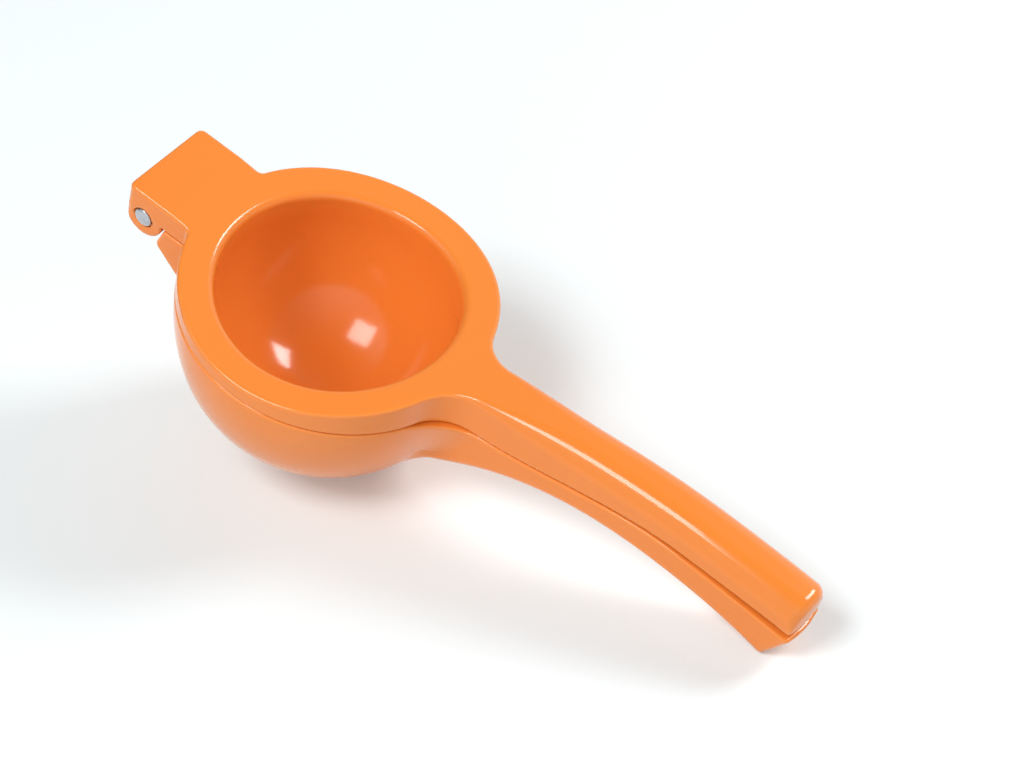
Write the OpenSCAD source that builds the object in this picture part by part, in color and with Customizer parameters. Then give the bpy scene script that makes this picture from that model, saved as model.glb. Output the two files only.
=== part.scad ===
// Hand press for oranges: two hinged castings and a hinge pin.
// Design frame: parting plane at z = 0, bowl axis on Z, handles along +X.
// The whole is then tipped until the bowl and the heel both stand on z = 0.

/* [Ring and dish] */
// Outer radius of the ring and of the bowl's rim
ring_r = 50; // [41:0.5:60]
// Width of the ring from its outside to the dish's mouth
ring_band = 11.5; // [9.5:0.5:14]
// Rounding of the mouth's upper edge
mouth_round = 2.4; // [1.2:0.2:3]
// Height of the ring at its lowest, over the parting plane
ring_t = 6; // [5:0.5:8]
// Radius of the long sweep that the ring's top follows
sweep_r = 235; // [200:5:300]
// Wall of the dish
dish_wall = 3; // [2:0.25:4]
// Depth of the dish's round centre under the parting plane
dish_drop = 3; // [1:0.5:5]

/* [Bowl] */
// How much smaller the bowl's ball is than its rim
ball_step = 1.2; // [0.9:0.1:1.7]
// Wall of the bowl
bowl_wall = 3.5; // [2.5:0.25:4.5]
// Diameter of a juice hole
hole_d = 3.8; // [2.5:0.1:3.9]
// Distance between two rings of juice holes
hole_step = 9; // [8:0.5:10]

/* [Hinge] */
// Width of the hinge block
block_w = 34.2; // [30:0.5:41]
// Height of the block over the parting plane
block_t = 9.8; // [9:0.2:12]
// Distance from the ring to the hinge pin
pin_reach = 14.8; // [14:0.2:18]
// Depth of the hinge pin under the parting plane
pin_drop = 0.5; // [0:0.1:1]
// Radius of the knuckle round the pin
knuckle_r = 7.2; // [6.4:0.1:7.6]
// Width of the lug between the two ears
lug_w = 22; // [18:0.5:24]
// Diameter of the pin's shank
pin_d = 5.6; // [5:0.1:6]
// How far the pin's domed heads stand out past the shank all round
head_lip = 0.4; // [0.2:0.1:0.6]
// Rounding of the block's upright corners
corner_r = 2.4; // [1.5:0.2:4]
// Rounding between the block and the ring
hip_r = 2.5; // [2:0.5:6]

/* [Handles] */
// Distance from the ring to the end of the upper handle
grip_len = 128.5; // [105:0.5:156]
// Width of the handles
grip_w = 17.4; // [16:0.2:21]
// Rounding between the ring and the handles
neck_r = 15; // [12:0.5:28]
// Height of the handles' joint line at its highest
handle_rise = 15.3; // [12.3:0.5:18.3]
// Thickness of the upper handle
upper_t = 12; // [10.5:0.1:14.5]
// Thickness of the lower handle at its thinnest
lower_t = 11.8; // [9.8:0.5:14.3]
// Depth of the heel under the joint line
heel_t = 17.9; // [15.5:0.2:21.5]
// Rounding along the top of the upper handle
grip_round = 7.4; // [5:0.2:7.6]

/* [Fits] */
// Gap between the two castings when the press is closed
closed_gap = 0.4; // [0.3:0.05:0.8]
// Gap between the handles' far ends when the press is closed
grip_gap = 2.6; // [1.5:0.1:3.5]
// Room round the pin, measured on the radius
pin_fit = 0.05; // [0.02:0.01:0.1]
// Room on each side of the lug
lug_fit = 0.3; // [0.2:0.05:0.5]

/* [Hidden] */
$fn = 96;
eps = 0.01;
enamel = [0.93, 0.44, 0.15];
steel = [0.72, 0.73, 0.75];

// Overall places that follow from the sizes above
mouth_r = ring_r - ring_band;
dish_z = -dish_drop;
bowl_r = ring_r - ball_step;
pin_x = ring_r + pin_reach;
pin_z = -pin_drop;
block_hw = block_w / 2;
grip_hw = grip_w / 2;
end_x = -pin_x - knuckle_r;
handle_len = ring_r + grip_len;

// The bowl is a ball with a larger arc above it, smooth where they meet and upright at the rim.
// The two centres and the corner between them make a triangle with sides of 7, 24 and 25 parts.
bowl_z = -7 * ball_step;
flank_x = -24 * ball_step;
flank_r = ring_r - flank_x;
flank_join = [flank_x + flank_r * 24 / 25, -flank_r * 7 / 25];

// Where the outline of the press in plan changes from one arc or side to the next
hip_x = -sqrt(pow(ring_r + hip_r, 2) - pow(block_hw + hip_r, 2));
hip_ring_x = hip_x * ring_r / (ring_r + hip_r);
neck_x = sqrt(pow(ring_r + neck_r, 2) - pow(grip_hw + neck_r, 2));
neck_ring_x = neck_x * ring_r / (ring_r + neck_r);

// Height on a smooth curve from [x, height, slope] at one end to another
function curve(x, a, b) =
    let (d = b[0] - a[0], t = (x - a[0]) / d)
    (2 * t * t * t - 3 * t * t + 1) * a[1] + (t * t * t - 2 * t * t + t) * d * a[2]
    + (3 * t * t - 2 * t * t * t) * b[1] + (t * t * t - t * t) * d * b[2];

// Half width of the press in plan
function half_w(x) =
    x < end_x + corner_r ? block_hw - corner_r + sqrt(max(0, pow(corner_r, 2) - pow(end_x + corner_r - x, 2)))
    : x < hip_x ? block_hw
    : x < hip_ring_x ? block_hw + hip_r - sqrt(max(0, pow(hip_r, 2) - pow(x - hip_x, 2)))
    : x < neck_ring_x ? sqrt(pow(ring_r, 2) - x * x)
    : x < neck_x ? grip_hw + neck_r - sqrt(max(0, pow(neck_r, 2) - pow(neck_x - x, 2)))
    : grip_hw;

// Both handles bend down a little towards their ends
droop_len = 40;
top_droop = 1.4;
joint_droop = 0.6;
function droop(x, depth) = depth * pow(max(0, x - handle_len + droop_len) / droop_len, 2);

// Top of the upper arm: flat block, long sweep over the ring, then the handle
sweep_low = -10;
shelf_x = -ring_r - 6;
foot_x = -ring_r + 2;
sweep_end = ring_r + 2;
flat_x = handle_len - 38;
function sweep(x) = ring_t + pow(x - sweep_low, 2) / (2 * sweep_r);
function on_sweep(x) = [x, sweep(x), (x - sweep_low) / sweep_r];
function top_z(x) =
    x < shelf_x ? block_t
    : x < foot_x ? curve(x, [shelf_x, block_t, 0], on_sweep(foot_x))
    : x < sweep_end ? sweep(x)
    : x < flat_x ? curve(x, on_sweep(sweep_end), [flat_x, handle_rise + upper_t, 0]) - droop(x, top_droop)
    : handle_rise + upper_t - droop(x, top_droop);

// Joint line between the arms
rise_x = handle_len - 42;
function joint_z(x) =
    x < ring_r ? 0
    : x < rise_x ? curve(x, [ring_r, 0, 0], [rise_x, handle_rise, 0]) - droop(x, joint_droop)
    : handle_rise - droop(x, joint_droop);
function upper_z(x) = x < -pin_x + knuckle_r ? pin_z - sqrt(max(0, pow(knuckle_r, 2) - pow(x + pin_x, 2)))
    : joint_z(x) + closed_gap;
function lower_z(x) = joint_z(x) - grip_gap * pow(max(0, x - ring_r) / grip_len, 2);

// Underside of the lower handle: out of the bowl, thinnest part, heel
lip = 0.4;
heel_slant = 7.6;
heel_shave = 0.9;
lower_end = handle_len + lip;
heel_x = lower_end - heel_slant;
root_x = ring_r + 10;
waist_x = handle_len - 51;
root_slope = 0.7;
root_depth = 18.5;
root = [root_x, joint_z(root_x) - root_depth, root_slope];
waist = [waist_x, joint_z(waist_x) - lower_t, 0];
heel = [heel_x, handle_rise - heel_t, -0.3];
function under_z(x) = x < root_x ? root[1] + (x - root_x) * root_slope
    : x < waist_x ? curve(x, root, waist) : curve(x, waist, heel);

// Rounding along the top edge: small on the ring, nearly half round on the handle
ring_edge = 1.2;
edge_r = 0.8;
round_from = ring_r - 4;
round_to = ring_r + 50;
function top_r(x) = x < round_from ? ring_edge : x > round_to ? grip_round
    : curve(x, [round_from, ring_edge, 0], [round_to, grip_round, 0]);

// One section across an arm, as [y, z] points, with its own half width below and above
top_steps = 8;
function arc(y, z, r, a, n) = [for (i = [0:n]) [y + r * cos(a + 90 * i / n), z + r * sin(a + 90 * i / n)]];
function section(wl, wh, low, high, rl, rh, nl, nh) = concat(
    arc(wh - rh, high - rh, rh, 0, nh), arc(rh - wh, high - rh, rh, 90, nh),
    arc(rl - wl, low + rl, rl, 180, nl), arc(wl - rl, low + rl, rl, 270, nl));
function upper_section(w, low, high, r) = section(w, w, low, high, edge_r, r, 2, top_steps);

// Solid through a row of sections that all have the same number of points
module loft(xs, rows) {
    n = len(rows[0]);
    last = len(xs) - 1;
    points = [for (i = [0:last]) for (p = rows[i]) [xs[i], p[0], p[1]]];
    sides = [for (i = [0:last - 1]) for (j = [0:n - 1])
        let (a = i * n + j, b = i * n + (j + 1) % n) each [[a, a + n, b], [b, a + n, b + n]]];
    caps = [[for (j = [0:n - 1]) j], [for (j = [n - 1:-1:0]) last * n + j]];
    polyhedron(points, concat(sides, caps));
}

// Places along an arm
function steps(a, b, n) = [for (i = [0:n - 1]) a + (b - a) * i / n];
knuckle_xs = [for (a = [180:-15:15]) -pin_x + knuckle_r * cos(a)];
ring_a = acos(hip_ring_x / ring_r);
ring_b = acos(neck_ring_x / ring_r);
ring_xs = [for (i = [0:23]) ring_r * cos(ring_a + (ring_b - ring_a) * i / 24)];
neck_xs = steps(neck_ring_x, neck_x, 8);

// End of the upper handle: brow rounded down, sides drawn in, joint face flat
brow_r = 4.5;
side_r = 2.5;
function drawn_in(x) = side_r - sqrt(max(0, pow(side_r, 2) - pow(max(0, x - handle_len + side_r), 2)));
function end_section(a) =
    let (x = handle_len - brow_r * (1 - sin(a)), w = grip_hw - drawn_in(x))
    upper_section(w, upper_z(x), top_z(x) - brow_r * (1 - cos(a)), min(grip_round, w - eps));
end_angles = [0:15:90];

// The handles' ends are bowed in plan: cutter for what lies past the bow, apex at the origin
bow_r = 31.5;
bow_cut = 2;
module past_bow() {
    tall = 60;
    translate([-bow_r, 0, -tall / 2]) difference() {
        translate([bow_r / 2, -grip_w, 0]) cube([bow_r / 2 + 2 * bow_cut, 2 * grip_w, tall]);
        cylinder(r = bow_r, h = tall);
    }
}

module upper_body() {
    solid_xs = concat(knuckle_xs, [-pin_x + knuckle_r], steps(-pin_x + knuckle_r + 0.5, hip_x, 2),
        steps(hip_x, hip_ring_x, 4), ring_xs, neck_xs, steps(neck_x, handle_len - brow_r, 22));
    rows = [for (x = solid_xs) upper_section(half_w(x), upper_z(x), top_z(x), top_r(x))];
    ends = [for (a = end_angles) end_section(a)];
    difference() {
        loft(concat(solid_xs, [for (a = end_angles) handle_len - brow_r * (1 - sin(a))]), concat(rows, ends));
        translate([handle_len - 0.2, 0, handle_rise]) past_bow();
    }
}

under_r = 3;
root_flare = 0.15;
tip_t = 4;
tip_r = 1.4;
function lower_section(x, hw) =
    section(grip_hw + (hw - grip_hw) * root_flare, hw, under_z(x), lower_z(x) - eps, under_r, edge_r, 5, 2);
module lower_handle() {
    sunk = 0.5;
    start = neck_ring_x - sunk;
    solid_xs = concat(steps(neck_ring_x + 1, neck_x, 7), steps(neck_x, heel_x, 22), [heel_x]);
    first = lower_section(start, half_w(start) - sunk);
    rows = [for (x = solid_xs) lower_section(x, half_w(x))];
    tip_z = lower_z(lower_end);
    tip = section(grip_hw, grip_hw, tip_z - tip_t, tip_z, tip_r, edge_r, 5, 2);
    slant_a = atan((lower_end - heel_x) / (tip_z - under_z(heel_x)));
    difference() {
        loft(concat([start], solid_xs, [lower_end]), concat([first], rows, [tip]));
        translate([lower_end - 0.2, 0, tip_z]) rotate([0, slant_a, 0]) past_bow();
    }
}

// Rounded mouth of the dish, which follows the sweep of the ring's top
clear_h = 30;
module mouth() {
    n = 72;
    lift = 1.5;
    inset = 0.6;
    angles = [for (i = [0:n - 1]) 360 * i / n];
    rows = concat([[-inset, -mouth_round - inset]],
        [for (f = [8:12:80]) [mouth_round * (1 - cos(f)), mouth_round * (sin(f) - 1)]],
        [[mouth_round + 1, lift]]);
    m = len(rows);
    rim = [for (r = rows) for (a = angles) let (q = mouth_r + r[0])
        [q * cos(a), q * sin(a), top_z(q * cos(a)) + r[1]]];
    sides = [for (k = [0:m - 2]) for (i = [0:n - 1]) let (a = k * n + i, b = k * n + (i + 1) % n)
        each [[a, a + n, b], [b, a + n, b + n]]];
    low = [for (i = [0:n - 1]) [i, (i + 1) % n, m * n]];
    high = [for (i = [0:n - 1]) let (a = (m - 1) * n + i, b = (m - 1) * n + (i + 1) % n) [b, a, m * n + 1]];
    polyhedron(concat(rim, [[0, 0, 0], [0, 0, clear_h]]), concat(sides, low, high));
}

// Round bowl shape: a cylinder that ends in half a ball
module cup(r, ball_z, top) {
    translate([0, 0, ball_z]) rotate_extrude() {
        intersection() {
            circle(r);
            translate([0, -r]) square(r);
        }
        square([r, top - ball_z]);
    }
}

module across_y(x, z, r, w) { translate([x, w / 2, z]) rotate([90, 0, 0]) cylinder(r = r, h = w); }

// The lug's room in the block: round over the pin, open at the end and below
room_above = 4;
module lug_room() {
    w = lug_w + 2 * lug_fit;
    low = pin_z - knuckle_r - 1;
    across_y(-pin_x, pin_z, knuckle_r, w);
    translate([end_x - 1, -w / 2, low]) cube([knuckle_r + 1, w, pin_z + room_above - low]);
    translate([-pin_x, -w / 2, low]) cube([knuckle_r + 1, w, closed_gap - low]);
}

head_d = pin_d + 2 * head_lip;
head_room = 0.4;
recess_r = head_d / 2 + head_room;
recess_depth = 1;

module upper_shape() {
    difference() {
        union() {
            upper_body();
            cup(mouth_r + dish_wall, dish_z, ring_t / 2);
        }
        cup(mouth_r, dish_z, clear_h);
        mouth();
        lug_room();
        across_y(-pin_x, pin_z, pin_d / 2 + pin_fit, block_w + 2);
        for (side = [-1, 1]) translate([0, side * (block_hw - recess_depth / 2 + eps), 0])
            across_y(-pin_x, pin_z, recess_r, recess_depth + 2 * eps);
    }
}

module bowl_outside() {
    rotate_extrude() {
        intersection() {
            translate([0, bowl_z]) circle(bowl_r);
            translate([0, bowl_z - bowl_r]) square([bowl_r, flank_join[1] - bowl_z + bowl_r]);
        }
        intersection() {
            translate([flank_x, 0]) circle(flank_r);
            translate([0, flank_join[1]]) square([ring_r + 1, -flank_join[1]]);
        }
    }
}

// Juice holes: one in the middle and rings of 6 and 12 round it
module juice_holes() {
    drop = bowl_z - bowl_r - 1;
    translate([0, 0, drop]) cylinder(d = hole_d, h = bowl_r);
    for (ring = [1:2]) for (i = [0:6 * ring - 1]) rotate([0, 0, (i + 0.5) * 60 / ring])
        translate([ring * hole_step, 0, drop]) cylinder(d = hole_d, h = bowl_r);
}

// Gusset under the block, and the lug that the ears straddle
notch = 1.2;
gusset_top = [-pin_x + knuckle_r + notch, 0];
gusset_tip = gusset_top + [-2.3, -7];
gusset_foot = [-ring_r + 0.2, -15];
module gusset() {
    translate([0, block_hw, 0]) rotate([90, 0, 0]) linear_extrude(block_w)
        polygon([[-ring_r + 10, 0], gusset_top, gusset_tip, gusset_tip + [0.5, -1.5],
            gusset_foot, gusset_foot + [12, -9]]);
}
lug_r = knuckle_r - 0.5;
module lug() {
    across_y(-pin_x, pin_z, lug_r, lug_w);
    translate([-pin_x, -lug_w / 2, pin_z - lug_r]) cube([pin_reach + bowl_wall, lug_w, lug_r - pin_z]);
}

module lower_shape() {
    difference() {
        union() {
            bowl_outside();
            lower_handle();
            gusset();
            lug();
        }
        cup(bowl_r - bowl_wall, bowl_z, clear_h);
        juice_holes();
        across_y(-pin_x, pin_z, pin_d / 2 + pin_fit, lug_w + 2);
    }
}

// Rest pose: the bowl's round and the heel's edge both reach the floor
heel_z = under_z(heel_x) + heel_shave;
tip_a = asin(bowl_r / norm([heel_x, heel_z - bowl_z])) + atan2(heel_z - bowl_z, heel_x);
rest_h = bowl_r - bowl_z * cos(tip_a);
knuckle_end = -pin_x * cos(tip_a) + pin_z * sin(tip_a) - knuckle_r;
brow_c = [handle_len - brow_r, top_z(handle_len) - brow_r];
handle_end = brow_c[0] * cos(tip_a) + brow_c[1] * sin(tip_a) + brow_r;
mid_x = (knuckle_end + handle_end) / 2;
module at_rest() { translate([-mid_x, 0, rest_h]) rotate([0, tip_a, 0]) children(); }

module lower_arm() {
    floor_room = [handle_len, grip_w + 2, 10];
    color(enamel) difference() {
        at_rest() lower_shape();
        translate([0, -floor_room[1] / 2, -floor_room[2]]) cube(floor_room);
    }
}
module upper_arm() { color(enamel) at_rest() upper_shape(); }
module hinge_pin() {
    dome = 0.9;
    dome_r = 1.2 * head_d;
    color(steel) at_rest() {
        across_y(-pin_x, pin_z, pin_d / 2, block_w - 2 * recess_depth);
        for (side = [-1, 1])
            translate([-pin_x, side * (block_hw - recess_depth), pin_z]) rotate([-90 * side, 0, 0])
                intersection() {
                    cylinder(d = head_d, h = recess_depth + dome);
                    translate([0, 0, recess_depth + dome - dome_r]) sphere(dome_r);
                }
    }
}

lower_arm();
upper_arm();
hinge_pin();
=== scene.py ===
import bmesh
import bpy
import math
import numpy as np
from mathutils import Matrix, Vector


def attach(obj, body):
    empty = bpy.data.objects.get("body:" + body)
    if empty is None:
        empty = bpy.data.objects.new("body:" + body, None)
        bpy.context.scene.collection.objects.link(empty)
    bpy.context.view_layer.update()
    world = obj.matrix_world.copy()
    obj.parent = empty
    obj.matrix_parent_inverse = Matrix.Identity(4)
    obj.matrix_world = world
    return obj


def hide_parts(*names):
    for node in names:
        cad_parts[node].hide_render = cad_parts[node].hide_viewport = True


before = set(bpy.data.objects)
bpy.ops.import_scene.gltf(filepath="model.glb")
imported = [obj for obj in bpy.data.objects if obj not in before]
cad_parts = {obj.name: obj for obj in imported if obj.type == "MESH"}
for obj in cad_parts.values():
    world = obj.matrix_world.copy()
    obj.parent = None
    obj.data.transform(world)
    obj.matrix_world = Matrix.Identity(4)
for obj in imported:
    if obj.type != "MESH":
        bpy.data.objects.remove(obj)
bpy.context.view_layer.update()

# how the press stands: the drawing frame is tipped about Y, then set down (degrees, mm)
stand = {"tip": 18.7785, "height": 56.7529, "middle": 53.7076}


def standUp(points):  # drawing frame in mm to the row frame in metres
    tip = math.radians(stand["tip"])
    x, y, z = points[:, 0], points[:, 1], points[:, 2]
    out = np.empty_like(points)
    out[:, 0] = x * math.cos(tip) + z * math.sin(tip) - stand["middle"]
    out[:, 1] = y
    out[:, 2] = z * math.cos(tip) - x * math.sin(tip) + stand["height"]
    return out * 0.001


# rules that both castings follow, in mm
outline = {
    "ringRadius": 50.0, "gripHalfWidth": 8.7, "neckFillet": 15.0,
    "blockHalfWidth": 17.1, "blockEnd": -72.0, "blockCorner": 2.4, "hipFillet": 2.5,
    "handleEnd": 178.5, "lip": 0.4, "endBow": 38.0,
}
lines = {
    "ringThickness": 6.0, "sweepLow": -10.0, "sweepRadius": 235.0, "blockTop": 9.8,
    "handleRise": 15.3, "upperThickness": 12.0, "lowerThickness": 11.8, "heelDepth": 17.9,
    "droopLength": 40.0, "topDroop": 1.4, "jointDroop": 0.6,
    "closedGap": 0.4, "gripGap": 2.6, "heelSlant": 7.6,
    "blockFoot": -48.0, "blockShelf": -56.0, "neckStart": 2.0, "topFlat": 38.0, "jointFlat": 42.0,
    "waist": 51.0, "rootDepth": 18.5, "rootSlope": 0.7, "heelSlope": -0.3,
}


def smoothCurve(x, a, b):  # from (x, height, slope) to (x, height, slope)
    d = b[0] - a[0]
    t = np.clip((x - a[0]) / d, 0, 1)
    return ((2 * t ** 3 - 3 * t ** 2 + 1) * a[1] + (t ** 3 - 2 * t ** 2 + t) * d * a[2]
            + (3 * t ** 2 - 2 * t ** 3) * b[1] + (t ** 3 - t ** 2) * d * b[2])


def droop(x, depth):  # both handles bend down a little towards their ends
    past = np.maximum(0, x - outline["handleEnd"] + lines["droopLength"])
    return depth * (past / lines["droopLength"]) ** 2


def sweepLine(x):  # shallow arc over ring and neck: height and slope
    away = x - lines["sweepLow"]
    return lines["ringThickness"] + away ** 2 / (2 * lines["sweepRadius"]), away / lines["sweepRadius"]


def topLine(x):
    start, flat = outline["ringRadius"] + lines["neckStart"], outline["handleEnd"] - lines["topFlat"]
    foot, shelf = lines["blockFoot"], lines["blockShelf"]
    block = lines["blockTop"]
    rise = smoothCurve(x, (shelf, block, 0), (foot, *sweepLine(foot)))
    grip = (flat, lines["handleRise"] + lines["upperThickness"], 0)
    handle = smoothCurve(x, (start, *sweepLine(start)), grip) - droop(x, lines["topDroop"])
    ring = np.where(x < start, sweepLine(x)[0], handle)
    return np.where(x < shelf, block, np.where(x < foot, rise, ring))


def jointLine(x):
    ring, flat = outline["ringRadius"], outline["handleEnd"] - lines["jointFlat"]
    handle = smoothCurve(x, (ring, 0, 0), (flat, lines["handleRise"], 0)) - droop(x, lines["jointDroop"])
    return np.where(x < ring, 0.0, handle)


def lowerTopLine(x):
    away = np.maximum(0, x - outline["ringRadius"]) / (outline["handleEnd"] - outline["ringRadius"])
    return jointLine(x) - lines["gripGap"] * away ** 2


def underLine(x):
    root, waist = outline["ringRadius"] + 10, outline["handleEnd"] - lines["waist"]
    heel = outline["handleEnd"] + outline["lip"] - lines["heelSlant"]
    a = (root, float(jointLine(root)) - lines["rootDepth"], lines["rootSlope"])
    b = (waist, float(jointLine(waist)) - lines["lowerThickness"], 0)
    c = (heel, lines["handleRise"] - lines["heelDepth"], lines["heelSlope"])
    steep = a[1] + (x - root) * a[2]
    past = lines["heelSlope"] * np.maximum(0, x - heel)
    handle = np.where(x < waist, smoothCurve(x, a, b), smoothCurve(x, b, c) + past)
    return np.where(x < root, steep, handle)


# soft solids: each takes points and gives the distance to its skin, less than nothing inside
def roundMax(a, b, r):  # what both share, with the edge rounded by r
    most = np.maximum(a, b)
    return np.where(most > -r, np.hypot(np.maximum(a + r, 0), np.maximum(b + r, 0)) - r, most)


def roundMin(a, b, r):  # both together, with a fillet of r in the corner
    return -roundMax(-a, -b, r)


def above(z, x, line, step=0.05):  # distance over a line drawn along X
    slope = (line(x + step) - line(x - step)) / (2 * step)
    return (z - line(x)) / np.sqrt(1 + slope * slope)


def slab(x, y, halfX, halfY, corner=0.0):
    qx, qy = np.abs(x) - halfX + corner, np.abs(y) - halfY + corner
    return np.hypot(np.maximum(qx, 0), np.maximum(qy, 0)) + np.minimum(np.maximum(qx, qy), 0) - corner


def cupSkin(x, y, z, radius, centreZ):  # a tube that ends in half a ball
    side = np.hypot(x, y)
    return np.where(z > centreZ, side, np.hypot(side, z - centreZ)) - radius


def cornerFillet(x, y, skin, halfWidth, r):  # true arc between the ring and a straight side along +X
    ring = outline["ringRadius"]
    cy = halfWidth + r
    cx = math.sqrt((ring + r) ** 2 - cy ** 2)
    inCorner = (x < cx) & (y * cx < x * cy)
    return np.where(inCorner, r - np.hypot(x - cx, y - cy), skin)


def bowedEnd(past, y):  # handle ends are bowed in plan, past = distance over the flat end
    bow = outline["endBow"]
    return np.where(past > -bow, np.hypot(past + bow, y) - bow, past)


def planSkin(x, y):
    ring, side = np.hypot(x, y) - outline["ringRadius"], np.abs(y)
    half = -outline["blockEnd"] / 2
    block = slab(x + half, y, half, outline["blockHalfWidth"], outline["blockCorner"])
    grip = np.maximum(side - outline["gripHalfWidth"], -x)
    both = np.minimum(np.minimum(ring, block), grip)
    both = cornerFillet(x, side, both, outline["gripHalfWidth"], outline["neckFillet"])
    return cornerFillet(-x, side, both, outline["blockHalfWidth"], outline["hipFillet"])


# upper casting: block and ears, ring with a round dish, handle
upperCasting = {
    "mouthRadius": 38.5, "dishCentre": -3.0, "dishWall": 3.0, "mouthRounding": 2.4,
    "ringEdge": 1.2, "gripRounding": 7.0, "softFrom": 46.0, "softBy": 100.0, "partingEdge": 0.7,
    "endInset": 0.40, "endRounding": 3.2, "endCorner": 0.9, "endBlend": 10.0, "endBlendHeight": 6.0,
    "pinX": -64.8, "pinZ": -0.5, "knuckleRadius": 7.2, "knuckleFillet": 0.4,
    "slotHalfWidth": 11.3, "slotReach": 10.0, "slotDrop": 6.0, "slotTop": 3.5, "slotUnder": 10.9,
    "slotEdge": 0.7, "recessRadius": 3.6, "recessDepth": 1.0, "recessEdge": 0.35,
    "plungerTop": 3.0, "plungerEdge": 0.5, "plungerFillet": 1.2,
    "voxel": 0.76, "low": (-73.5, -52, -44), "high": (180, 52, 28.5),
}


def upperSkin(x, y, z):
    c = upperCasting
    plan = planSkin(x, y)
    softer = smoothCurve(x, (c["softFrom"], 0, 0), (c["softBy"], 1, 0))
    edge = c["ringEdge"] + (c["gripRounding"] - c["ringEdge"]) * softer
    under = -above(z, x, lambda q: jointLine(q) + lines["closedGap"])
    end = bowedEnd(x - outline["handleEnd"] + c["endInset"], y)
    plate = roundMax(plan, under, c["partingEdge"])
    fromPin = np.hypot(x - c["pinX"], z - c["pinZ"])
    knuckle = roundMax(fromPin - c["knuckleRadius"], plan, c["partingEdge"])
    body = roundMin(plate, knuckle, c["knuckleFillet"])
    plunger = cupSkin(x, y, z, c["mouthRadius"] + c["dishWall"], c["dishCentre"])
    plunger = roundMax(plunger, z - c["plungerTop"], c["plungerEdge"])
    body = roundMin(body, plunger, c["plungerFillet"])
    # room for the lug: round the pin, behind it and below it
    reach = c["slotReach"]
    behind = slab(x - c["pinX"] + reach, z - c["pinZ"] + c["slotDrop"], reach, reach)
    behind = np.maximum(behind, z - c["slotTop"])
    below = slab(x - c["pinX"], z - c["pinZ"] + reach, c["knuckleRadius"], c["slotUnder"])
    below = np.maximum(below, z - lines["closedGap"])
    room = np.minimum(np.minimum(fromPin - c["knuckleRadius"], behind), below)
    body = roundMax(body, -np.maximum(room, np.abs(y) - c["slotHalfWidth"]), c["slotEdge"])
    recess = np.maximum(fromPin - c["recessRadius"], outline["blockHalfWidth"] - c["recessDepth"] - np.abs(y))
    body = roundMax(body, -recess, c["recessEdge"])
    cavity = cupSkin(x, y, z, c["mouthRadius"], c["dishCentre"])
    top = roundMax(above(z, x, topLine), -cavity, c["mouthRounding"])
    body = roundMax(body, top, edge)
    body = np.maximum(body, -cavity)
    # the end's edge is small at the joint line and grows towards the top
    up = np.clip((z - topLine(x) + c["endBlend"]) / c["endBlendHeight"], 0, 1)
    softer = (c["endRounding"] - c["endCorner"]) * up * up * (3 - 2 * up)
    return roundMax(body, end, c["endCorner"] + softer)


# lower casting: strainer bowl, gusset and lug, handle that ends in a heel
lowerCasting = {
    "bowlRadius": 48.8, "bowlCentre": -8.4, "bowlWall": 3.5, "rimEdge": 0.8, "gripUnder": 3.0,
    "rootFillet": 4.0, "rootDepth": 20.0, "gripStart": 20.0,
    "lugRadius": 5.8, "lugHalfWidth": 11.0, "lugEdge": 0.8, "lugFillet": 1.0,
    "barMiddle": -57.0, "barDrop": 2.65, "barHalfLength": 8.0, "barHalfHeight": 3.15,
    "gusset": [(-20, 0), (-56.4, 0), (-58.7, -7), (-58.2, -8.5), (-49.8, -15), (-38, -24), (-20, -24)],
    "gussetEdge": 0.8, "gussetFillet": 2.0,
    "lipRounding": 1.2, "endInset": 0.03, "floorGap": 0.02, "heelEdge": 0.4,
    "voxel": 0.82, "low": (-73.5, -52, -59), "high": (181, 52, 17),
}


def bowlSkin(x, y, z):  # ball below, tangent arc up to the rim
    c, ring = lowerCasting, outline["ringRadius"]
    side = np.hypot(x, y)
    big = (ring ** 2 + c["bowlCentre"] ** 2 - c["bowlRadius"] ** 2) / (2 * (ring - c["bowlRadius"]))
    turn = np.arctan2(-c["bowlCentre"], big - ring)
    low = np.arctan2(-z, side + big - ring) > turn
    ball = np.hypot(side, z - c["bowlCentre"]) - c["bowlRadius"]
    return np.where(low, ball, np.hypot(side + big - ring, z) - big)


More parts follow.
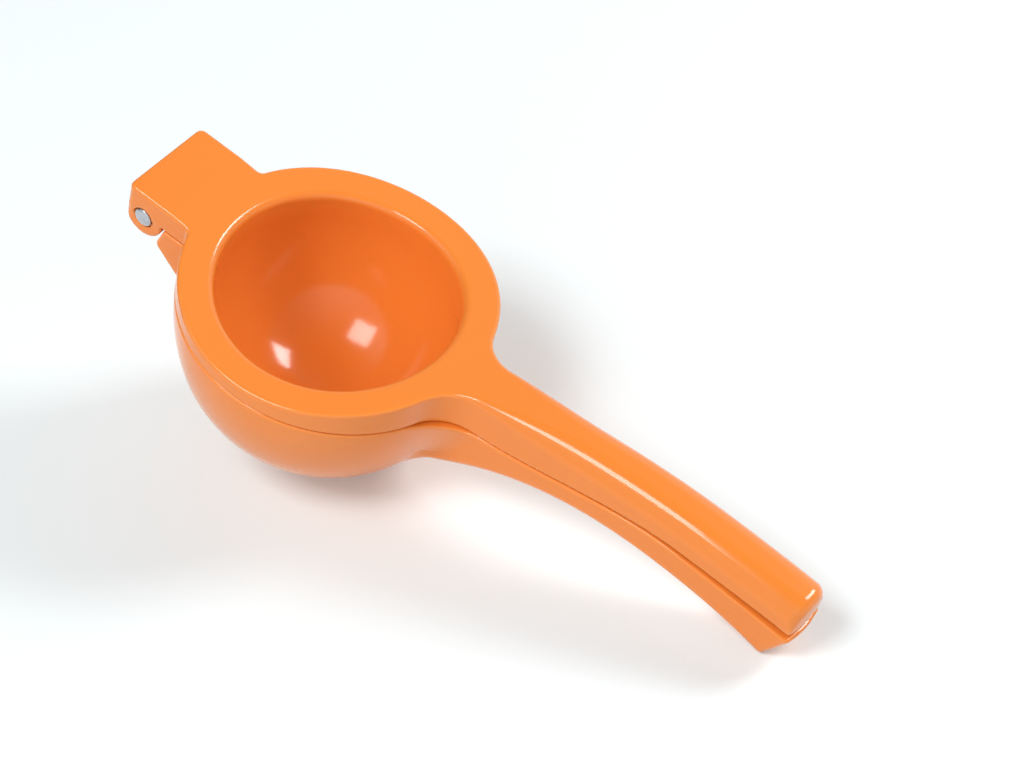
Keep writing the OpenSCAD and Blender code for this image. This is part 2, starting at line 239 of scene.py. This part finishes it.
def lowerSkin(x, y, z):
    c = lowerCasting
    bowl = bowlSkin(x, y, z)
    corners = c["gusset"]
    gusset = np.abs(y) - outline["blockHalfWidth"]
    side = np.full_like(x, -1e3)
    for (x0, z0), (x1, z1) in zip(corners, corners[1:] + corners[:1]):
        length = math.hypot(x1 - x0, z1 - z0)
        side = np.maximum(side, ((x - x0) * (z1 - z0) - (z - z0) * (x1 - x0)) / length)
    gusset = roundMax(gusset, side, c["gussetEdge"])
    fromPin = np.hypot(x - upperCasting["pinX"], z - upperCasting["pinZ"]) - c["lugRadius"]
    barZ = upperCasting["pinZ"] - c["barDrop"]
    bar = slab(x - c["barMiddle"], z - barZ, c["barHalfLength"], c["barHalfHeight"])
    lug = roundMax(np.minimum(fromPin, bar), np.abs(y) - c["lugHalfWidth"], c["lugEdge"])
    body = roundMin(bowl, gusset, c["gussetFillet"])
    body = roundMin(body, lug, c["lugFillet"])
    grip = np.maximum(np.abs(y) - outline["gripHalfWidth"], c["gripStart"] - x)
    grip = roundMax(grip, -above(z, x, underLine), c["gripUnder"])
    share = np.clip((z + c["rootDepth"]) / c["rootDepth"], 0, 1)
    fillet = c["rootFillet"] + (outline["neckFillet"] - c["rootFillet"]) * share
    body = roundMin(body, grip, fillet)
    body = roundMax(body, above(z, x, lowerTopLine), c["rimEdge"])
    waist = outline["handleEnd"] - lines["waist"]
    endX = outline["handleEnd"] + outline["lip"]
    endZ = lines["handleRise"] - lines["jointDroop"] - lines["gripGap"]
    heelX, heelZ = endX - lines["heelSlant"], lines["handleRise"] - lines["heelDepth"]
    length = math.hypot(endX - heelX, endZ - heelZ)
    slant = ((x - endX) * (endZ - heelZ) - (z - endZ) * (endX - heelX)) / length
    body = roundMax(body, bowedEnd(slant + c["endInset"], y), c["lipRounding"])
    # the heel is flat where the press stands on it
    tip = math.radians(stand["tip"])
    underFloor = x * math.sin(tip) - z * math.cos(tip) - stand["height"] + c["floorGap"]
    body = np.where(x > waist, roundMax(body, underFloor, c["heelEdge"]), body)
    cavity = cupSkin(x, y, z, c["bowlRadius"] - c["bowlWall"], c["bowlCentre"])
    return roundMax(body, -cavity, c["rimEdge"])


def slopeOf(skin, p, step=0.02):
    g = np.empty_like(p)
    for k in range(3):
        d = np.zeros(3)
        d[k] = step
        g[:, k] = skin(*(p + d).T) - skin(*(p - d).T)
    return g / (2 * step)


# how a skin becomes a mesh: slices worked at a time, limits on a step back to the skin (the longest
# is in voxels), how far the quads even out, mm off the skin where its bend is felt, a whole edge's bend
meshing = {
    "slices": 24, "leastSlope": 0.25, "longestStep": 0.5, "evenOut": 0.5,
    "feelReach": 0.9, "wholeEdge": 1.2,
}


def skinToMesh(name, skin, values):  # even quads over a skin, both halves alike
    voxel = values["voxel"]
    low, high = np.array(values["low"], float), np.array(values["high"], float)
    nx, nz = [int(math.ceil((high[k] - low[k]) / voxel)) + 1 for k in (0, 2)]
    ny = int(math.ceil(high[1] / voxel)) + 1
    xs, zs = low[0] + voxel * np.arange(nx), low[2] + voxel * np.arange(nz)
    ys = voxel * (np.arange(ny) + 0.5)
    half = np.empty((nx, ny, nz), np.float32)
    for i in range(0, nx, meshing["slices"]):
        some = slice(i, i + meshing["slices"])
        gx, gy, gz = np.meshgrid(xs[some], ys, zs, indexing="ij")
        half[some] = skin(gx, gy, gz)
    field = np.concatenate([half[:, ::-1], half], axis=1)
    ys = np.concatenate([-ys[::-1], ys])
    inside = field < 0
    counts = np.zeros(tuple(n - 1 for n in field.shape), np.int8)
    for dx in (0, 1):
        for dy in (0, 1):
            for dz in (0, 1):
                part = [slice(d, n - 1 + d) for d, n in zip((dx, dy, dz), inside.shape)]
                counts += inside[tuple(part)]
    cells = np.argwhere((counts > 0) & (counts < 8))
    index = -np.ones(counts.shape, np.int64)
    index[tuple(cells.T)] = np.arange(len(cells))
    total, hits = np.zeros((len(cells), 3)), np.zeros(len(cells))
    corners = [(a, b, c) for a in (0, 1) for b in (0, 1) for c in (0, 1)]
    for p in corners:
        for axis in range(3):
            if p[axis]:
                continue
            q = list(p)
            q[axis] = 1
            fp = field[cells[:, 0] + p[0], cells[:, 1] + p[1], cells[:, 2] + p[2]]
            fq = field[cells[:, 0] + q[0], cells[:, 1] + q[1], cells[:, 2] + q[2]]
            cut = (fp < 0) != (fq < 0)
            t = np.where(cut, fp / np.where(cut, fp - fq, 1), 0)
            spot = np.tile(np.array(p, float), (len(cells), 1))
            spot[:, axis] += t
            total[cut] += spot[cut]
            hits[cut] += 1
    points = np.stack([xs[cells[:, 0]], ys[cells[:, 1]], zs[cells[:, 2]]], 1)
    points += voxel * total / hits[:, None]
    quads = []
    for axis in range(3):
        a, b = (axis + 1) % 3, (axis + 2) % 3
        here, there = [slice(1, -1)] * 3, [slice(1, -1)] * 3
        here[axis], there[axis] = slice(0, -1), slice(1, None)
        f0, f1 = inside[tuple(here)], inside[tuple(there)]
        for sense in (True, False):
            spots = np.argwhere((f0 != f1) & (f0 == sense))
            off = np.ones(3, int)
            off[axis] = 0
            spots = spots + off
            ring = []
            for da, db in ((-1, -1), (0, -1), (0, 0), (-1, 0)):
                cell = spots.copy()
                cell[:, a] += da
                cell[:, b] += db
                ring.append(index[tuple(cell.T)])
            ring = np.stack(ring, 1)
            quads.append(ring if sense else ring[:, ::-1])
    quads = np.concatenate(quads)

    def settle(p, rounds):
        for _ in range(rounds):
            g = slopeOf(skin, p)
            push = skin(*p.T)[:, None] * g / np.maximum((g * g).sum(1), meshing["leastSlope"])[:, None]
            size = np.maximum(np.linalg.norm(push, axis=1), 1e-9)
            p = p - push * np.minimum(1, meshing["longestStep"] * voxel / size)[:, None]
        return p

    points = settle(points, 3)
    ends = np.concatenate([quads[:, [k, (k + 1) % 4]] for k in range(4)])
    for _ in range(4):  # even out the quads along the skin, then back onto it
        mean = np.zeros_like(points)
        for k in range(3):
            mean[:, k] = np.bincount(ends[:, 0], points[ends[:, 1], k], len(points))
            mean[:, k] += np.bincount(ends[:, 1], points[ends[:, 0], k], len(points))
        many = np.bincount(ends.ravel(), minlength=len(points))
        points = settle(points + meshing["evenOut"] * (mean / many[:, None] - points), 1)
    points = settle(points, 2)
    normals = slopeOf(skin, points)
    normals /= np.maximum(np.linalg.norm(normals, axis=1), 1e-9)[:, None]
    reach = meshing["feelReach"]
    bend = skin(*(points + reach * normals).T) + skin(*(points - reach * normals).T)
    around = np.zeros(len(points))
    for k in range(3):
        for sign in (-1, 1):
            d = np.zeros(3)
            d[k] = reach * sign
            around += skin(*(points + d).T)
    # above 0 on outer edges (enamel worn thin there), below 0 in corners (painted shade there, with enamel
    # pooled thicker)
    edge = np.clip((around - bend) / meshing["wholeEdge"], -1, 1)

    mesh = bpy.data.meshes.new(name)
    mesh.vertices.add(len(points))
    mesh.vertices.foreach_set("co", points.astype(np.float32).ravel())
    mesh.loops.add(quads.size)
    mesh.loops.foreach_set("vertex_index", quads.astype(np.int32).ravel())
    mesh.polygons.add(len(quads))
    mesh.polygons.foreach_set("loop_start", np.arange(0, quads.size, 4, dtype=np.int32))
    mesh.polygons.foreach_set("use_smooth", np.ones(len(quads), bool))
    mesh.update(calc_edges=True)
    mesh.validate()
    # curvature stored for the enamel: edge wear on outer edges, painted shade in corners
    wearAndShade = mesh.attributes.new("edgeWearCornerShade", "FLOAT", "POINT")
    wearAndShade.data.foreach_set("value", edge.astype(np.float32))
    piece = bpy.data.objects.new(name, mesh)
    bpy.context.scene.collection.objects.link(piece)
    print(name, len(mesh.vertices), "points", len(mesh.polygons), "quads")
    return piece


def readPoints(mesh, kind):
    values = np.empty(len(mesh.vertices) * 3, np.float32)
    mesh.vertices.foreach_get(kind, values)
    return values.reshape(-1, 3).astype(float)


def placePiece(piece, skin=None, near=0.03):  # from the drawing frame to where the press stands
    mesh = piece.data
    points, normals = readPoints(mesh, "co"), readPoints(mesh, "normal")
    if skin:  # the skin's own slope shades better than the quads do
        onSkin = np.abs(skin(*points.T)) < near
        normals[onSkin] = slopeOf(skin, points[onSkin])
        normals /= np.maximum(np.linalg.norm(normals, axis=1), 1e-9)[:, None]
    mesh.vertices.foreach_set("co", standUp(points).astype(np.float32).ravel())
    mesh.update()
    if skin:
        turned = (standUp(normals) - standUp(np.zeros((1, 3)))) * 1000
        mesh.normals_split_custom_set_from_vertices(turned.tolist())


# hinge pin: shank and two peened heads, turned about Y
hingePin = {
    "shankRadius": 2.8, "headRadius": 3.2, "headSeat": 16.12, "rimReach": 17.05, "domeReach": 17.75,
    "domeSteps": 10, "sides": 64, "sharpAngle": 35, "mergeWithin": 0.001,
}


def turnPin():
    p = hingePin
    profile = [(p["shankRadius"], 0.0), (p["shankRadius"], p["headSeat"])]
    profile.append((p["headRadius"], p["headSeat"]))
    for step in range(p["domeSteps"] + 1):
        angle = math.pi / 2 * step / p["domeSteps"]
        rise = p["domeReach"] - p["rimReach"]
        profile.append((p["headRadius"] * math.cos(angle), p["rimReach"] + rise * math.sin(angle)))
    profile = [(r, -reach) for r, reach in profile[:0:-1]] + profile[1:]
    points, faces = [], []
    for r, reach in profile:
        for side in range(p["sides"]):
            turn = 2 * math.pi * side / p["sides"]
            x = upperCasting["pinX"] + r * math.cos(turn)
            z = upperCasting["pinZ"] + r * math.sin(turn)
            points.append((x, reach, z))
    for ring in range(len(profile) - 1):
        for side in range(p["sides"]):
            a, b = ring * p["sides"] + side, ring * p["sides"] + (side + 1) % p["sides"]
            faces.append((a, a + p["sides"], b + p["sides"], b))
    mesh = bpy.data.meshes.new("hinge_pin_turned")
    mesh.from_pydata(points, [], faces)
    shape = bmesh.new()  # the last ring of each dome closes to one point
    shape.from_mesh(mesh)
    bmesh.ops.remove_doubles(shape, verts=shape.verts, dist=p["mergeWithin"])
    bmesh.ops.recalc_face_normals(shape, faces=shape.faces)
    shape.to_mesh(mesh)
    shape.free()
    mesh.polygons.foreach_set("use_smooth", [True] * len(mesh.polygons))
    mesh.set_sharp_from_angle(angle=math.radians(p["sharpAngle"]))
    pin = bpy.data.objects.new("hinge_pin_turned", mesh)
    bpy.context.scene.collection.objects.link(pin)
    return pin


def addNode(tree, kind, inputs=None, **settings):
    node = tree.nodes.new(kind)
    for key, value in settings.items():
        setattr(node, key, value)
    for key, value in (inputs or {}).items():
        if isinstance(value, bpy.types.NodeSocket):
            tree.links.new(value, node.inputs[key])
        else:
            node.inputs[key].default_value = value
    return node


def doSum(tree, operation, a, b=0.0):
    return addNode(tree, "ShaderNodeMath", {0: a, 1: b}, operation=operation).outputs[0]


def mixColour(tree, share, a, b):
    a = a if isinstance(a, bpy.types.NodeSocket) else (*a, 1)
    return addNode(tree, "ShaderNodeMix", {0: share, 6: a, 7: (*b, 1)}, data_type="RGBA").outputs[2]


def addNoise(tree, place, scale, detail):
    values = {"Vector": place, "Scale": scale, "Detail": detail}
    return addNode(tree, "ShaderNodeTexNoise", values).outputs["Fac"]


def remap(tree, value, low, high, start=0.0, end=1.0):
    return addNode(tree, "ShaderNodeMapRange", {"Value": value, "From Min": start, "From Max": end,
                                                "To Min": low, "To Max": high}).outputs[0]


# juice holes in the bowl: one in the middle and two rings, drilled along the bowl's axis
juiceHoles = {
    "Hole Diameter": 3.8, "Ring Step": 9.0, "Rim Rounding": 0.5, "Size Spread": 0.01, "Seed": 7,
    "Drill Length": 14.0, "Drill Rise": 4.0,
    "Bowl Radius": lowerCasting["bowlRadius"], "Bowl Wall": lowerCasting["bowlWall"],
    "Bowl Centre": lowerCasting["bowlCentre"],
}


def makeHoleTree(rings=2, sides=28, steps=40, sharpAngle=50):
    tree = bpy.data.node_groups.new("juiceHoles", "GeometryNodeTree")
    tree.interface.new_socket("Geometry", in_out="INPUT", socket_type="NodeSocketGeometry")
    for name, value in juiceHoles.items():
        kind = "NodeSocketInt" if name == "Seed" else "NodeSocketFloat"
        tree.interface.new_socket(name, in_out="INPUT", socket_type=kind)
    tree.interface.new_socket("Material", in_out="INPUT", socket_type="NodeSocketMaterial")
    tree.interface.new_socket("Geometry", in_out="OUTPUT", socket_type="NodeSocketGeometry")
    given = tree.nodes.new("NodeGroupInput").outputs
    spots = [addNode(tree, "GeometryNodePoints", {"Count": 1}).outputs[0]]
    for ring in range(1, rings + 1):
        away = doSum(tree, "MULTIPLY", given["Ring Step"], ring)
        circle = addNode(tree, "GeometryNodeMeshCircle", {"Vertices": 6 * ring, "Radius": away}).outputs[0]
        halfStep = (0, 0, math.pi / (6 * ring))
        turned = addNode(tree, "GeometryNodeTransform", {"Geometry": circle, "Rotation": halfStep})
        spots.append(turned.outputs[0])
    join = tree.nodes.new("GeometryNodeJoinGeometry")
    for spot in spots:
        tree.links.new(spot, join.inputs[0])
    # a drill with a side in many steps, its middle a little over the bowl's bottom
    radius = doSum(tree, "DIVIDE", given["Hole Diameter"], 2)
    drill = addNode(tree, "GeometryNodeMeshCylinder",
                    {"Vertices": sides, "Side Segments": steps,
                     "Radius": radius, "Depth": given["Drill Length"]}).outputs["Mesh"]
    bottom = doSum(tree, "SUBTRACT", given["Bowl Centre"], given["Bowl Radius"])
    middle = doSum(tree, "ADD", bottom, given["Drill Rise"])
    height = addNode(tree, "ShaderNodeCombineXYZ", {"Z": middle}).outputs[0]
    drill = addNode(tree, "GeometryNodeTransform", {"Geometry": drill, "Translation": height}).outputs[0]
    local = addNode(tree, "GeometryNodeInputPosition").outputs[0]
    flat = addNode(tree, "ShaderNodeVectorMath", {0: local, 1: (1, 1, 0)}, operation="MULTIPLY").outputs[0]
    outward = addNode(tree, "ShaderNodeVectorMath", {0: flat}, operation="NORMALIZE").outputs[0]
    drill = addNode(tree, "GeometryNodeStoreNamedAttribute",
                    {"Geometry": drill, "Name": "outward", "Value": outward},
                    data_type="FLOAT_VECTOR", domain="POINT").outputs[0]
    least = doSum(tree, "SUBTRACT", 1.0, given["Size Spread"])
    spread = addNode(tree, "FunctionNodeRandomValue", {2: least, 3: 1.0, "Seed": given["Seed"]},
                     data_type="FLOAT").outputs[1]
    scale = addNode(tree, "ShaderNodeCombineXYZ", {"X": spread, "Y": spread, "Z": 1.0}).outputs[0]
    drills = addNode(tree, "GeometryNodeInstanceOnPoints",
                     {"Points": join.outputs[0], "Instance": drill, "Scale": scale})
    drills = addNode(tree, "GeometryNodeRealizeInstances", {"Geometry": drills.outputs[0]}).outputs[0]
    # rims: the drill widens where it leaves the wall, by how deep each point lies in it
    centre = addNode(tree, "ShaderNodeCombineXYZ", {"Z": given["Bowl Centre"]}).outputs[0]
    here = addNode(tree, "GeometryNodeInputPosition").outputs[0]
    away = addNode(tree, "ShaderNodeVectorMath", {0: here, 1: centre}, operation="DISTANCE").outputs["Value"]
    fromOutside = doSum(tree, "SUBTRACT", given["Bowl Radius"], away)
    fromInside = doSum(tree, "SUBTRACT", given["Bowl Wall"], fromOutside)
    depth = doSum(tree, "MINIMUM", fromOutside, fromInside)
    share = remap(tree, depth, 1.0, 0.0, 0.0, given["Rim Rounding"])
    arc = doSum(tree, "SQRT", doSum(tree, "SUBTRACT", 1.0, doSum(tree, "MULTIPLY", share, share)))
    flare = doSum(tree, "MULTIPLY", doSum(tree, "SUBTRACT", 1.0, arc), given["Rim Rounding"])
    stored = addNode(tree, "GeometryNodeInputNamedAttribute", {"Name": "outward"},
                     data_type="FLOAT_VECTOR").outputs[0]
    push = addNode(tree, "ShaderNodeVectorMath", {0: stored, "Scale": flare}, operation="SCALE").outputs[0]
    drills = addNode(tree, "GeometryNodeSetPosition", {"Geometry": drills, "Offset": push}).outputs[0]
    cut = addNode(tree, "GeometryNodeMeshBoolean", {0: given["Geometry"]},
                  operation="DIFFERENCE", solver="MANIFOLD")
    tree.links.new(drills, cut.inputs[1])
    clean = addNode(tree, "GeometryNodeRemoveAttribute", {"Geometry": cut.outputs[0], "Name": "outward"})
    bend = addNode(tree, "GeometryNodeInputMeshEdgeAngle").outputs[0]
    sharp = addNode(tree, "FunctionNodeCompare", {0: bend, 1: math.radians(sharpAngle)},
                    data_type="FLOAT", operation="GREATER_THAN").outputs[0]
    shaded = addNode(tree, "GeometryNodeSetShadeSmooth",
                     {"Geometry": clean.outputs[0], "Selection": sharp, "Shade Smooth": False}, domain="EDGE")
    whole = addNode(tree, "GeometryNodeRealizeInstances", {"Geometry": shaded.outputs[0]}).outputs[0]
    coated = addNode(tree, "GeometryNodeSetMaterial", {"Geometry": whole, "Material": given["Material"]})
    addNode(tree, "NodeGroupOutput", {0: coated.outputs[0]})
    return tree


def drillJuiceHoles(piece, material):
    modifier = piece.modifiers.new("juiceHoles", "NODES")
    modifier.node_group = makeHoleTree()
    wanted = {**juiceHoles, "Material": material}
    for item in modifier.node_group.interface.items_tree:
        if item.in_out == "INPUT" and item.name in wanted:
            modifier[item.identifier] = wanted[item.name]
    evaluated = piece.evaluated_get(bpy.context.evaluated_depsgraph_get())
    plain = bpy.data.meshes.new_from_object(evaluated)
    piece.modifiers.clear()
    piece.data = plain
    print("juice holes drilled,", len(plain.vertices), "points")


# enamel over cast aluminium, worn thin on edges; corners get a darker colour that is painted shade, with
# enamel pooled thicker there
enamelLook = {
    "colour": (0.85, 0.240, 0.037), "pooledShadeColour": (0.74, 0.180, 0.026), "thin": (0.91, 0.300, 0.060),
    "shade": 0.94, "worn": 0.45, "wornFrom": 0.25, "pooledShade": 0.8, "pooledShadeFrom": 0.15, "full": 0.9,
    "cloudScale": 28, "rubScale": 190, "peelScale": 420, "peel": 0.00002, "peelStrength": 0.6,
    "smooth": 0.10, "rough": 0.19, "gleam": 0.40, "coat": 0.08, "coatRoughness": 0.05,
}


def makeEnamel():
    look = enamelLook
    mat = bpy.data.materials.new("orangeEnamel")
    mat.use_nodes = True
    tree = mat.node_tree
    shader = tree.nodes["Principled BSDF"]
    place = addNode(tree, "ShaderNodeTexCoord").outputs["Object"]
    cloud = addNoise(tree, place, look["cloudScale"], 3)
    tone = mixColour(tree, cloud, look["colour"], [look["shade"] * v for v in look["colour"]])
    wearAndShade = addNode(tree, "ShaderNodeAttribute", attribute_name="edgeWearCornerShade").outputs["Fac"]
    onEdges = remap(tree, wearAndShade, 0.0, look["worn"], look["wornFrom"], look["full"])
    # painted shade: corners and creases get the darker colour, standing in for shade as well as pooled enamel
    shadedCorners = remap(tree, wearAndShade, 0.0, look["pooledShade"], -look["pooledShadeFrom"], -look["full"])
    thinned = mixColour(tree, onEdges, tone, look["thin"])
    tree.links.new(mixColour(tree, shadedCorners, thinned, look["pooledShadeColour"]), shader.inputs["Base Color"])
    rub = addNoise(tree, place, look["rubScale"], 4)
    tree.links.new(remap(tree, rub, look["smooth"], look["rough"]), shader.inputs["Roughness"])
    peel = addNoise(tree, place, look["peelScale"], 1)
    bump = addNode(tree, "ShaderNodeBump",
                   {"Height": peel, "Distance": look["peel"], "Strength": look["peelStrength"]})
    tree.links.new(bump.outputs[0], shader.inputs["Normal"])
    shader.inputs["IOR"].default_value = 1.5
    shader.inputs["Specular IOR Level"].default_value = look["gleam"]
    shader.inputs["Coat Weight"].default_value = look["coat"]
    shader.inputs["Coat Roughness"].default_value = look["coatRoughness"]
    return mat


# bright steel, dented where the hammer closed it
steelLook = {
    "dark": (0.42, 0.43, 0.46), "light": (0.66, 0.67, 0.70),
    "smooth": 0.22, "rough": 0.42, "grainScale": 900,
    "dentScale": 700, "dent": 0.00006, "dentStrength": 0.5,
}


def makeSteel():
    look = steelLook
    mat = bpy.data.materials.new("peenedSteel")
    mat.use_nodes = True
    tree = mat.node_tree
    shader = tree.nodes["Principled BSDF"]
    shader.inputs["Metallic"].default_value = 1
    place = addNode(tree, "ShaderNodeTexCoord").outputs["Object"]
    grain = addNoise(tree, place, look["grainScale"], 3)
    tree.links.new(mixColour(tree, grain, look["dark"], look["light"]), shader.inputs["Base Color"])
    tree.links.new(remap(tree, grain, look["smooth"], look["rough"]), shader.inputs["Roughness"])
    dents = addNode(tree, "ShaderNodeTexVoronoi", {"Vector": place, "Scale": look["dentScale"]})
    bump = addNode(tree, "ShaderNodeBump", {"Height": dents.outputs["Distance"],
                                            "Distance": look["dent"], "Strength": look["dentStrength"]})
    tree.links.new(bump.outputs[0], shader.inputs["Normal"])
    return mat


def dressPiece(piece, body, node, material, skin=None):
    if not piece.data.materials:
        piece.data.materials.append(material)
    placePiece(piece, skin)
    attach(piece, body)
    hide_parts(node)


enamel, steel = makeEnamel(), makeSteel()
upper = skinToMesh("upper_casting", upperSkin, upperCasting)
dressPiece(upper, "upper", "upper_arm", enamel, upperSkin)
lower = skinToMesh("lower_casting", lowerSkin, lowerCasting)
drillJuiceHoles(lower, enamel)
dressPiece(lower, "lower", "lower_arm", enamel, lowerSkin)
pin = turnPin()
dressPiece(pin, "upper", "hinge_pin", steel)
print("pieces done")

# camera (metres, degrees, mm)
camera = {
    "place": (0.495746, -0.549944, 0.696282), "turn": (48.6438, 4.3954, 37.2984),
    "lens": 114.047, "sensor": 36, "near": 0.05, "far": 50,
}


def makeCamera():
    cam = bpy.data.cameras.new("camera")
    cam.lens, cam.sensor_width = camera["lens"], camera["sensor"]
    cam.clip_start, cam.clip_end = camera["near"], camera["far"]
    made = bpy.data.objects.new("camera", cam)
    made.location = camera["place"]
    made.rotation_euler = [math.radians(v) for v in camera["turn"]]
    bpy.context.scene.collection.objects.link(made)
    bpy.context.scene.camera = made


# studio: pale floor, two softboxes (degrees, metres, watts) and a room with brighter parts
studio = {
    "floor": (0.74, 0.80, 0.81), "floorHalf": 6, "floorLift": 0.15, "aim": (-0.03, 0, 0.04),
    "key": {"azimuth": 50, "height": 36, "away": 1.5, "wide": 0.46, "tall": 0.46, "power": 12.0},
    "front": {"azimuth": -92, "height": 58, "away": 1.5, "wide": 0.60, "tall": 0.52, "power": 11.4},
    "roomParts": [  # azimuth, height, tightness, strength
        (45, 15, 5, 0.35), (90, 15, 5, 1.1), (135, 15, 5, 0.17),
        (270, 15, 5, 0.9), (315, 15, 5, 1.05), (226, 46, 14, 1.45),
    ],
}


def wayTo(azimuth, height):
    az, el = math.radians(azimuth), math.radians(height)
    return Vector((math.cos(az) * math.cos(el), math.sin(az) * math.cos(el), math.sin(el)))


def makeFloor():
    mesh = bpy.data.meshes.new("floor")
    half = studio["floorHalf"]
    corners = [(-half, -half, 0), (half, -half, 0), (half, half, 0), (-half, half, 0)]
    mesh.from_pydata(corners, [], [(0, 1, 2, 3)])
    floor = bpy.data.objects.new("floor", mesh)
    bpy.context.scene.collection.objects.link(floor)
    mat = bpy.data.materials.new("paleFloor")
    mat.use_nodes = True
    tree = mat.node_tree
    tree.nodes.remove(tree.nodes["Principled BSDF"])
    matt = addNode(tree, "ShaderNodeBsdfDiffuse", {"Color": (*studio["floor"], 1)}).outputs[0]
    path = addNode(tree, "ShaderNodeLightPath").outputs
    seen = doSum(tree, "MAXIMUM", doSum(tree, "MAXIMUM", path["Is Camera Ray"], path["Is Glossy Ray"]),
                 path["Is Transmission Ray"])
    lift = doSum(tree, "MULTIPLY", seen, studio["floorLift"])
    glow = addNode(tree, "ShaderNodeEmission", {"Strength": lift}).outputs[0]
    both = addNode(tree, "ShaderNodeAddShader", {0: matt, 1: glow}).outputs[0]
    tree.links.new(both, tree.nodes["Material Output"].inputs["Surface"])
    mesh.materials.append(mat)


def makeSoftbox(name, values):
    light = bpy.data.lights.new(name, "AREA")
    light.shape, light.size, light.size_y = "RECTANGLE", values["wide"], values["tall"]
    light.energy = values["power"]
    box = bpy.data.objects.new(name, light)
    way = wayTo(values["azimuth"], values["height"])
    box.location = Vector(studio["aim"]) + way * values["away"]
    box.rotation_euler = way.to_track_quat("Z", "Y").to_euler()
    bpy.context.scene.collection.objects.link(box)


def makeRoom():
    world = bpy.data.worlds.new("studio")
    world.use_nodes = True
    bpy.context.scene.world = world
    tree = world.node_tree
    toward = addNode(tree, "ShaderNodeTexCoord").outputs["Generated"]
    total = 0.0
    for azimuth, height, tightness, strength in studio["roomParts"]:
        facing = addNode(tree, "ShaderNodeVectorMath", {0: toward, 1: wayTo(azimuth, height)},
                         operation="DOT_PRODUCT")
        lobe = doSum(tree, "POWER", doSum(tree, "MAXIMUM", facing.outputs["Value"], 0.0), tightness)
        total = doSum(tree, "ADD", doSum(tree, "MULTIPLY", lobe, strength), total)
    back = tree.nodes["Background"]
    back.inputs["Color"].default_value = (1, 1, 1, 1)
    tree.links.new(total, back.inputs["Strength"])


makeCamera()
makeFloor()
makeSoftbox("keySoftbox", studio["key"])
makeSoftbox("frontSoftbox", studio["front"])
makeRoom()
bpy.context.scene.view_settings.view_transform = "Standard"
print("camera, floor and light set")
